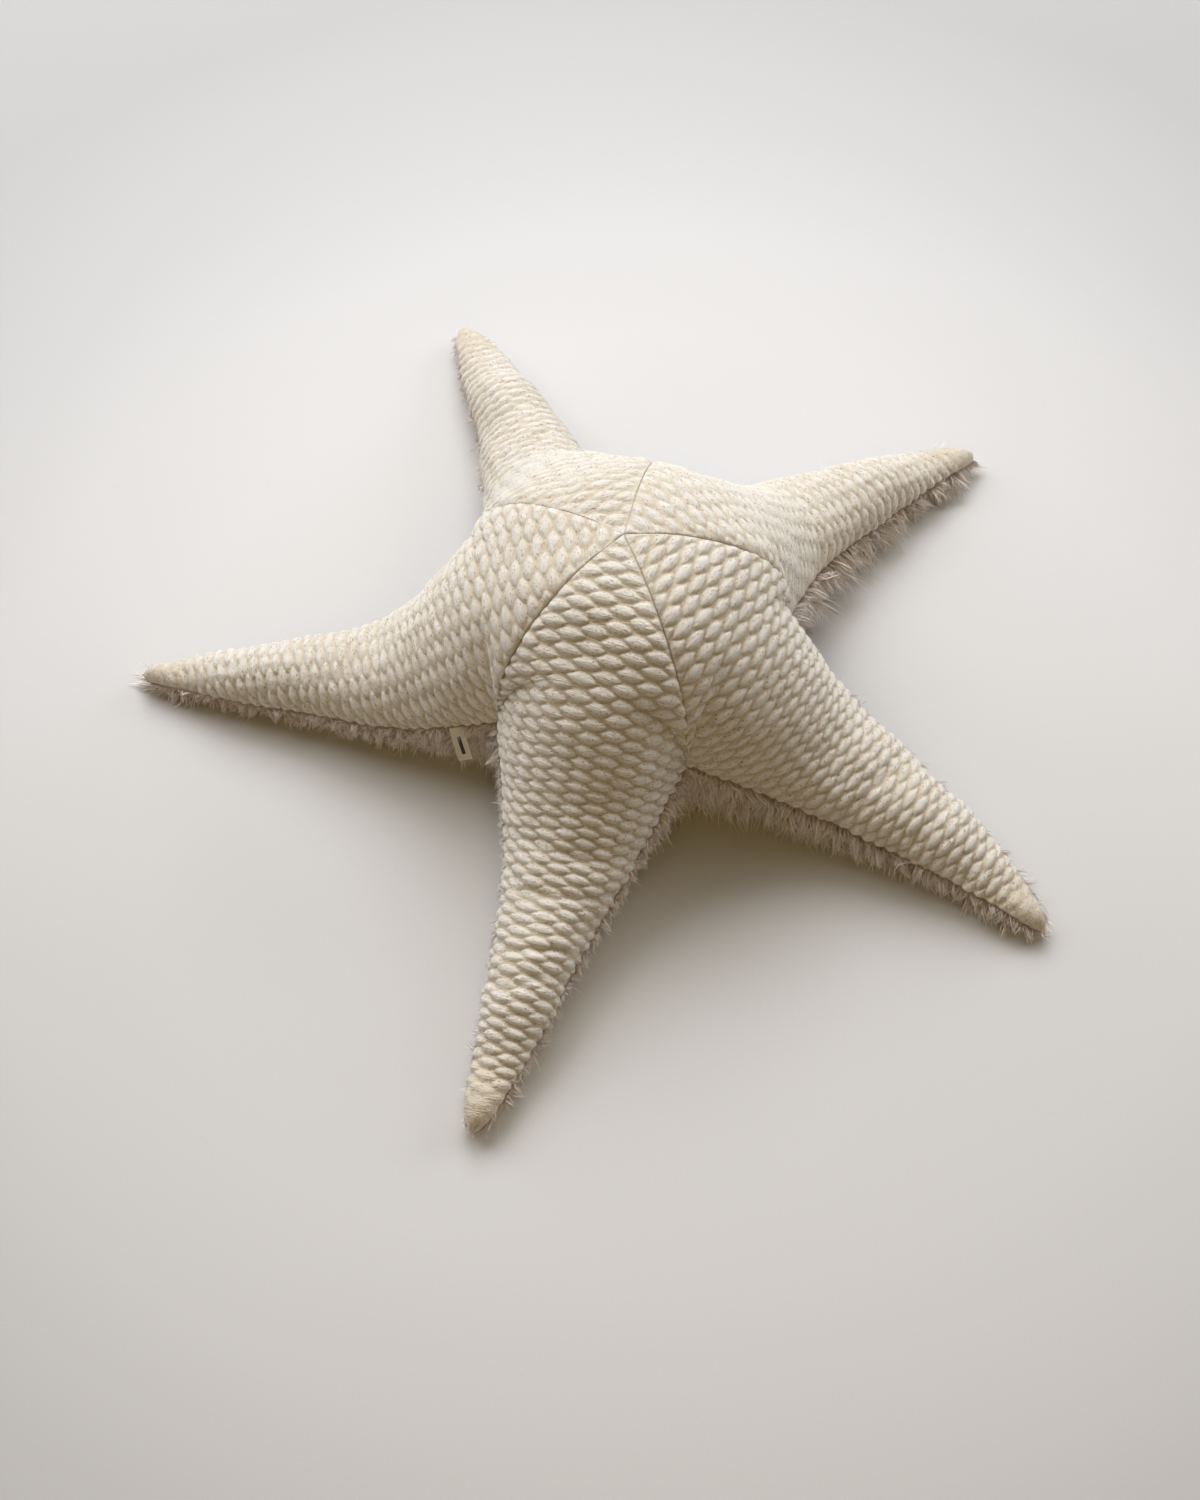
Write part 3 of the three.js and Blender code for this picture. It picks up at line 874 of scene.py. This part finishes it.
def make_label(material):
    """A woven ribbon folded back on itself and caught in the side seam. It carries no lettering."""
    left = next(k for k, arm in enumerate(ARMS) if arm["name"] == "left")
    root = lower_point(left, np.array([LABEL_STATION]), np.array([1.0]))[0]
    tipward = lower_point(left, np.array([LABEL_STATION + 0.02]), np.array([1.0]))[0]
    run = unit((tipward - root) * np.array([1, 1, 0]))
    out = np.array([-run[1], run[0], 0.0])
    hang = out * math.cos(LABEL_DROOP) - np.array([0, 0, math.sin(LABEL_DROOP)])
    face = np.cross(run, hang)
    run, hang = (
        run * math.cos(LABEL_SLANT) + hang * math.sin(LABEL_SLANT),
        hang * math.cos(LABEL_SLANT) - run * math.sin(LABEL_SLANT),
    )
    across = np.linspace(-1, 1, 15)
    turn = np.concatenate([np.linspace(0, 1, 26), [1.015, 1.015], np.linspace(1, 0, 26)])
    layer = np.concatenate([np.full(26, -0.55), [-0.3, 0.3], np.full(26, 0.55)])
    rows = []
    for t, side in zip(turn, layer):
        curl = -2.2 * t * t + 0.5 * math.sin(5 * t) + side
        middle = root + out * 1.6 + hang * (LABEL_LENGTH * t - 1.5) + face * curl
        cup = 0.5 * across**2 + 0.25 * across * math.sin(4 * t)
        rows.append(middle + np.outer(across * LABEL_WIDTH / 2, run) + np.outer(cup, face))
    middle = np.array(rows)
    normal = unit(np.cross(np.gradient(middle, axis=0), np.gradient(middle, axis=1)))
    grids = Grids()
    front = grids.number(middle + LABEL_CLOTH * normal)
    back = grids.number(middle - LABEL_CLOTH * normal)
    grids.cover(front)
    grids.cover(back, True)
    grids.cover(np.stack([front[0], back[0]]), True)
    grids.cover(np.stack([front[-1], back[-1]]))
    grids.cover(np.stack([front[:, 0], back[:, 0]]))
    grids.cover(np.stack([front[:, -1], back[:, -1]]), True)
    piece = make_object("blank_label", *grids.joined(), material, "woven_label")
    v = np.repeat(turn * LABEL_LENGTH, len(across))
    u = np.tile(across * LABEL_WIDTH / 2, len(turn))
    add_uv(piece, np.tile(np.stack([u, v], -1), (2, 1)))
    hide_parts("label")
    return piece


# ---- materials


class Nodes:
    """Short names for building a material's node tree."""

    def __init__(self, name):
        self.material = bpy.data.materials.new(name)
        self.material.use_nodes = True
        self.tree = self.material.node_tree
        self.shader = self.tree.nodes["Principled BSDF"]

    def feed(self, node, inputs):
        """Sets a node's inputs, each by a plain value, a colour or a link from another node."""
        for key, value in inputs.items():
            socket = node.inputs[key]
            if isinstance(value, bpy.types.NodeSocket):
                self.tree.links.new(value, socket)
            elif socket.type == "RGBA":
                socket.default_value = (*value, 1)
            else:
                socket.default_value = value

    def add(self, kind, inputs, **settings):
        node = self.tree.nodes.new(kind)
        for key, value in settings.items():
            setattr(node, key, value)
        self.feed(node, inputs)
        return node

    def math(self, operation, first, second):
        return self.add("ShaderNodeMath", {0: first, 1: second}, operation=operation).outputs[0]

    def mix(self, factor, first, second, blend="MIX"):
        inputs = {0: factor, 6: first, 7: second}
        return self.add("ShaderNodeMix", inputs, data_type="RGBA", blend_type=blend).outputs[2]

    def ramp(self, source, stops):
        node = self.add("ShaderNodeValToRGB", {0: source})
        elements = node.color_ramp.elements
        while len(elements) < len(stops):
            elements.new(0.5)
        for element, (position, colour) in zip(elements, stops):
            element.position = position
            element.color = (*colour, 1)
        return node.outputs[0]

    def place(self):
        """The point on the piece, in metres."""
        return self.add("ShaderNodeTexCoord", {}).outputs["Object"]

    def cloth(self):
        """The point on the flat cloth, in metres."""
        return self.add("ShaderNodeUVMap", {}, uv_map="cloth").outputs[0]

    def attribute(self, name):
        return self.add("ShaderNodeAttribute", {}, attribute_name=name).outputs["Fac"]

    def noise(self, vector, scale, detail=2.0):
        inputs = {"Vector": vector, "Scale": scale, "Detail": detail}
        return self.add("ShaderNodeTexNoise", inputs).outputs["Fac"]

    def stretched(self, vector, across, along, turn=0.0):
        inputs = {"Vector": vector, "Rotation": (0, 0, turn), "Scale": (across, along, 1)}
        return self.add("ShaderNodeMapping", inputs).outputs[0]

    def finish(self, colour, roughness, more=None, height=None, strength=0.0, distance=0.0):
        """Feeds the shader, bumps its surface where a height is given, and gives the material."""
        self.feed(self.shader, {"Base Color": colour, "Roughness": roughness, **(more or {})})
        if height:
            inputs = {"Height": height, "Strength": strength, "Distance": distance}
            self.feed(self.shader, {"Normal": self.add("ShaderNodeBump", inputs).outputs[0]})
        return self.material


# Colours along each ramp. The cotton's ramp holds painted shade, browner, for the ground between its
# puffs, and cream for their tops; the fur is darker at its root.
WHITE = (1, 1, 1)
COTTON_WITH_PAINTED_SHADE = [(0.0, (0.755, 0.665, 0.53)), (0.35, (0.81, 0.755, 0.65)), (1.0, (0.89, 0.85, 0.795))]
FUR = [(0.0, (0.66, 0.57, 0.50)), (0.5, (0.93, 0.85, 0.785)), (1.0, (0.97, 0.94, 0.90))]
FILLING = [(0.3, (0.74, 0.73, 0.70)), (0.7, (0.86, 0.85, 0.83))]
RIBBON = [(0.0, (0.62, 0.56, 0.42)), (1.0, (0.78, 0.72, 0.58))]
# The label's bar, in metres across the ribbon from its middle, and along it from the seam.
LABEL_BAR = ((-0.0014, 0.0016), (0.008, 0.024))
BAR_COLOUR = (0.045, 0.04, 0.04)
FLOOR = [(0.3, (0.655, 0.635, 0.615)), (0.7, (0.685, 0.665, 0.645))]
# Painted light falloff on the floor: from this middle, in metres, it darkens to the share given at
# each distance.
PAINTED_LIGHT_MIDDLE = (0.05, -0.05, 0)
FLOOR_PAINTED_FALLOFF = [(0.45, 1), (0.58, 0.95), (0.72, 0.84), (0.95, 0.71)]
# Flecks of seed husk and coloured fibre: turn, cells per metre one way and the other, size, share
# of cells that hold one, colour.
FLECKS = [
    (0.3, 430, 200, 0.20, 0.20, (0.24, 0.15, 0.12)),
    (1.2, 450, 180, 0.20, 0.40, (0.52, 0.20, 0.16)),
    (2.0, 400, 170, 0.18, 0.30, (0.46, 0.30, 0.18)),
    (2.7, 320, 280, 0.17, 0.07, (0.12, 0.09, 0.08)),
]


def cotton_material():
    """Undyed cotton: cream on the puffs, with painted shade, a little browner, in the ground between
    them, with flecks.
    """
    nodes = Nodes("undyed_quilted_cotton")
    place, cloth = nodes.place(), nodes.cloth()
    # Painted shade: darker and browner where the puff share is low, between the puffs, by the seams
    # and at the arm ends.
    base = nodes.ramp(nodes.attribute("puff"), COTTON_WITH_PAINTED_SHADE)
    patchy = nodes.ramp(nodes.noise(place, 45), [(0.3, (0.96, 0.95, 0.925)), (0.7, WHITE)])
    threads = nodes.noise(nodes.stretched(cloth, 700, 150), 1.0, 3)
    streaks = nodes.ramp(threads, [(0.3, (0.89, 0.87, 0.83)), (0.62, WHITE)])
    speckle = nodes.ramp(nodes.noise(place, 620, 1), [(0.35, (0.945, 0.925, 0.90)), (0.6, WHITE)])
    for shade in (patchy, streaks, speckle):
        base = nodes.mix(1.0, base, shade, "MULTIPLY")
    for turn, scale_across, scale_along, size, share, colour in FLECKS:
        inputs = {"Vector": nodes.stretched(cloth, scale_across, scale_along, turn), "Scale": 1}
        cells = nodes.add("ShaderNodeTexVoronoi", inputs, voronoi_dimensions="2D")
        chance = nodes.add("ShaderNodeSeparateColor", {0: cells.outputs["Color"]}).outputs
        near = nodes.math("LESS_THAN", cells.outputs["Distance"], size)
        rare = nodes.math("LESS_THAN", chance[0], share)
        strength = nodes.math("ADD", nodes.math("MULTIPLY", chance[1], 0.5), 0.1)
        fleck = nodes.math("MULTIPLY", nodes.math("MULTIPLY", near, rare), strength)
        base = nodes.mix(fleck, base, colour)
    fuzz = nodes.math("MULTIPLY", nodes.noise(place, 1100, 3), 0.7)
    sheen = {"Specular IOR Level": 0.2, "Sheen Weight": 0.25, "Sheen Roughness": 0.6}
    return nodes.finish(base, 0.92, sheen, nodes.math("ADD", threads, fuzz), 0.9, 0.0012)


def fur_material():
    """Greyish beige fur: dark at the root, paler at the tip, each hair a little different."""
    nodes = Nodes("taupe_long_pile_fur")
    by_length = nodes.ramp(nodes.attribute("reach"), FUR)
    by_hair = nodes.ramp(nodes.attribute("tone"), [(0.0, (0.79, 0.76, 0.74)), (1.0, WHITE)])
    colour = nodes.mix(1.0, by_length, by_hair, "MULTIPLY")
    return nodes.finish(colour, 0.6, {"Specular IOR Level": 0.3, "Sheen Weight": 0.3})


def filling_material():
    nodes = Nodes("white_fibre_filling")
    place = nodes.place()
    colour = nodes.ramp(nodes.noise(place, 120, 4), FILLING)
    return nodes.finish(colour, 1.0, None, nodes.noise(place, 600, 4), 0.6, 0.001)


def label_material():
    """Cream woven ribbon with fine ribs and a plain dark bar woven in, without lettering."""
    nodes = Nodes("cream_woven_ribbon")
    cloth = nodes.cloth()
    wave = {"wave_type": "BANDS", "bands_direction": "Y"}
    ribs = nodes.add("ShaderNodeTexWave", {"Vector": cloth, "Scale": 500}, **wave).outputs["Fac"]
    place = nodes.add("ShaderNodeSeparateXYZ", {0: cloth}).outputs
    inside = 1.0
    for way, (low, high) in zip(place, LABEL_BAR):
        above = nodes.math("GREATER_THAN", way, low)
        below = nodes.math("LESS_THAN", way, high)
        inside = nodes.math("MULTIPLY", nodes.math("MULTIPLY", above, below), inside)
    colour = nodes.mix(inside, nodes.ramp(ribs, RIBBON), BAR_COLOUR)
    return nodes.finish(colour, 0.7, None, ribs, 0.5, 0.0002)


def floor_material():
    """A pale matt floor, with painted shade that darkens it away from the middle, as light falls off.
    """
    nodes = Nodes("pale_floor")
    place = nodes.place()
    offset = nodes.add("ShaderNodeVectorMath", {0: place, 1: PAINTED_LIGHT_MIDDLE}, operation="SUBTRACT")
    distance = nodes.add("ShaderNodeVectorMath", {0: offset.outputs[0]}, operation="LENGTH")
    # Painted shade: the floor darkens with distance from the middle.
    fade = [(reach, (share, share, share)) for reach, share in FLOOR_PAINTED_FALLOFF]
    darker = nodes.ramp(distance.outputs["Value"], fade)
    grain = nodes.ramp(nodes.noise(place, 900, 2), FLOOR)
    return nodes.finish(nodes.mix(1.0, grain, darker, "MULTIPLY"), 0.8)


# ---- stage, light and camera


LIGHT_DISTANCE = 3.2
LIGHT_SIZE = 1.97
DAYLIGHT = (0.93, 0.955, 1.0)
CEILING = (1.0, 0.924, 0.76)
ROOM = (1.0, 0.71, 0.27)
# Azimuth and elevation in degrees, watts, colour.
LIGHTS = [
    (-60, 25, 19.5, DAYLIGHT),
    (-60, 50, 28, DAYLIGHT),
    (-30, 50, 24.5, DAYLIGHT),
    (0, 50, 60, DAYLIGHT),
    (60, 25, 31, DAYLIGHT),
    (60, 50, 9.5, DAYLIGHT),
    (0, 88, 5, CEILING),
    (180, 50, 14, ROOM),
]
ROOM_LIGHT = 0.01
FLOOR_SIZE = 12
CAMERA_TARGET = np.array([-0.015, -0.054, 0.0])
CAMERA_DISTANCE = 1.505


def make_floor():
    bpy.ops.mesh.primitive_plane_add(size=FLOOR_SIZE)
    floor = bpy.context.object
    floor.name = "floor"
    floor.data.materials.append(floor_material())


def aim(data, place, back, roll=0.0):
    """Puts a light or a camera at a place, looking away from the way its back points."""
    aimed = add_object(data)
    aimed.location = place
    aimed.rotation_mode = "QUATERNION"
    ahead = Vector(-back).to_track_quat("-Z", "Y")
    aimed.rotation_quaternion = ahead @ Quaternion((0, 0, 1), roll)
    return aimed


def add_area_light(azimuth, elevation, power, colour):
    """A big round soft light on a dome over the object. Azimuth 0 is behind, 90 to the right."""
    turn, rise = math.radians(azimuth), math.radians(elevation)
    data = bpy.data.lights.new(f"soft_light_{azimuth}_{elevation}", "AREA")
    data.shape = "DISK"
    data.size = LIGHT_SIZE
    data.energy = power
    data.color = colour
    back = Vector((math.sin(turn) * math.cos(rise), math.cos(turn) * math.cos(rise), math.sin(rise)))
    aim(data, LIGHT_DISTANCE * back, back)


def light_scene():
    """A wide soft window behind the object, with a little light from above and in front."""
    for azimuth, elevation, power, colour in LIGHTS:
        add_area_light(azimuth, elevation, power, colour)
    world = bpy.data.worlds.new("room")
    world.use_nodes = True
    background = world.node_tree.nodes["Background"]
    background.inputs["Color"].default_value = (0.97, 0.98, 1.0, 1)
    background.inputs["Strength"].default_value = ROOM_LIGHT
    bpy.context.scene.world = world
    bpy.context.scene.view_settings.view_transform = "Standard"


def add_camera():
    """From the side of the bottom arm and 1.3 m up, looking steeply down."""
    elevation, roll = math.radians(61.7), math.radians(0.9)
    back = np.array([0, -math.cos(elevation), math.sin(elevation)])
    data = bpy.data.cameras.new("camera")
    data.sensor_width = 36
    data.lens = 43.0
    bpy.context.scene.camera = aim(data, CAMERA_TARGET + back * CAMERA_DISTANCE, back, roll)


def build():
    cotton, fur = cotton_material(), fur_material()
    moves = settle_cloth()
    for k in range(len(ARMS)):
        make_panel(k, cotton, moves)
        make_pile(k, fur)
    make_fur_backing(fur)
    make_stuffing(filling_material())
    make_label(label_material())
    make_floor()
    light_scene()
    add_camera()


build()
